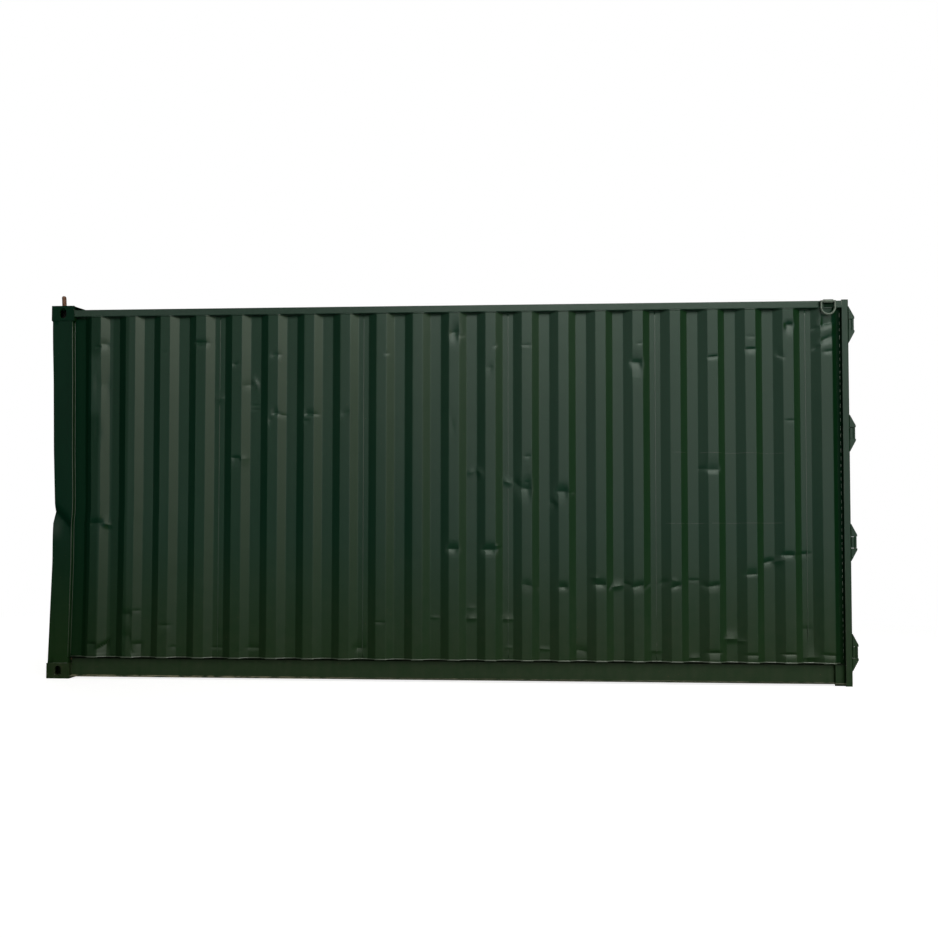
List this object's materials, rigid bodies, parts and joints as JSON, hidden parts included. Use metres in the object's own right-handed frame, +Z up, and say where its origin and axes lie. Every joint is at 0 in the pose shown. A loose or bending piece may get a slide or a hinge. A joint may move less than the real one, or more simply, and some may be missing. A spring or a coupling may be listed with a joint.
{
  "type": "shipping container",
  "caption": "Corrugated steel cargo container with corner castings at its front end, lifting rings and double doors that swing round to the sides.",
  "frame": {"origin": "centre of the whole object's box, at ground level", "axes": "+X from the front end to the doors, +Y from the pictured near side to the far side, +Z up"},
  "size_m": [6.1, 2.482, 3.0014],
  "materials": {
    "green_paint": "semi-gloss dark green paint, faded and stained",
    "casting_paint": "dark green paint on cast steel, chipped to rust at the apertures",
    "rail_paint": "dark green paint, worn to bare steel on the lower edge",
    "underside_paint": "dark anti-corrosion coat",
    "lock_gear_paint": "green paint with rubbed edges",
    "ring_steel": "worn painted steel bar",
    "rusty_steel": "rough brown rust",
    "floor_wood": "oiled plywood, scuffed",
    "gasket_rubber": "matt black rubber"
  },
  "bodies": {
    "root": {"casting_front_near_top": "casting_paint", "casting_front_near_bottom": "casting_paint", "casting_front_far_top": "casting_paint", "casting_front_far_bottom": "casting_paint", "front_post_near": "green_paint", "front_post_far": "green_paint", "front_sill": "rail_paint", "front_header": "green_paint", "front_wall": "green_paint", "rear_post_near": "green_paint", "rear_post_far": "green_paint", "hinge_lugs_near": "green_paint", "hinge_lugs_far": "green_paint", "rear_sill": "rail_paint", "rear_header": "green_paint", "bottom_rail_near": "rail_paint", "bottom_rail_far": "rail_paint", "top_rail_near": "green_paint", "top_rail_far": "green_paint", "side_wall_near": "green_paint", "side_wall_far": "green_paint", "roof": "green_paint", "roof_corner_plates": "green_paint", "floor_boards": "floor_wood", "cross_members": "underside_paint", "cam_keepers": "green_paint", "ring_saddle_near": "green_paint", "ring_saddle_far": "green_paint", "rusty_stub": "rusty_steel"},
    "ring_near": {"lifting_ring_near": "ring_steel"},
    "ring_far": {"lifting_ring_far": "ring_steel"},
    "door_near": {"door_frame_near": "green_paint", "door_panel_near": "green_paint", "door_gasket_near": "gasket_rubber", "hinge_blades_near": "green_paint", "lock_rods_near": "lock_gear_paint", "rod_brackets_near": "lock_gear_paint", "door_handles_near": "lock_gear_paint"},
    "door_far": {"door_frame_far": "green_paint", "door_panel_far": "green_paint", "door_gasket_far": "gasket_rubber", "hinge_blades_far": "green_paint", "lock_rods_far": "lock_gear_paint", "rod_brackets_far": "lock_gear_paint", "door_handles_far": "lock_gear_paint"}
  },
  "joints": [
    {"name": "door_near_hinge", "type": "hinge", "parent": "root", "child": "door_near", "pos_m": [3.04, -1.203, 1.45], "axis": [0, 0, -1], "range_deg": [0, 270]},
    {"name": "door_far_hinge", "type": "hinge", "parent": "root", "child": "door_far", "pos_m": [3.04, 1.203, 1.45], "axis": [0, 0, 1], "range_deg": [0, 270]},
    {"name": "ring_near_swing", "type": "hinge", "parent": "root", "child": "ring_near", "pos_m": [2.853, -1.228, 2.855], "axis": [-1, 0, 0], "range_deg": [0, 150]},
    {"name": "ring_far_swing", "type": "hinge", "parent": "root", "child": "ring_far", "pos_m": [2.853, 1.228, 2.855], "axis": [1, 0, 0], "range_deg": [0, 150]}
  ]
}
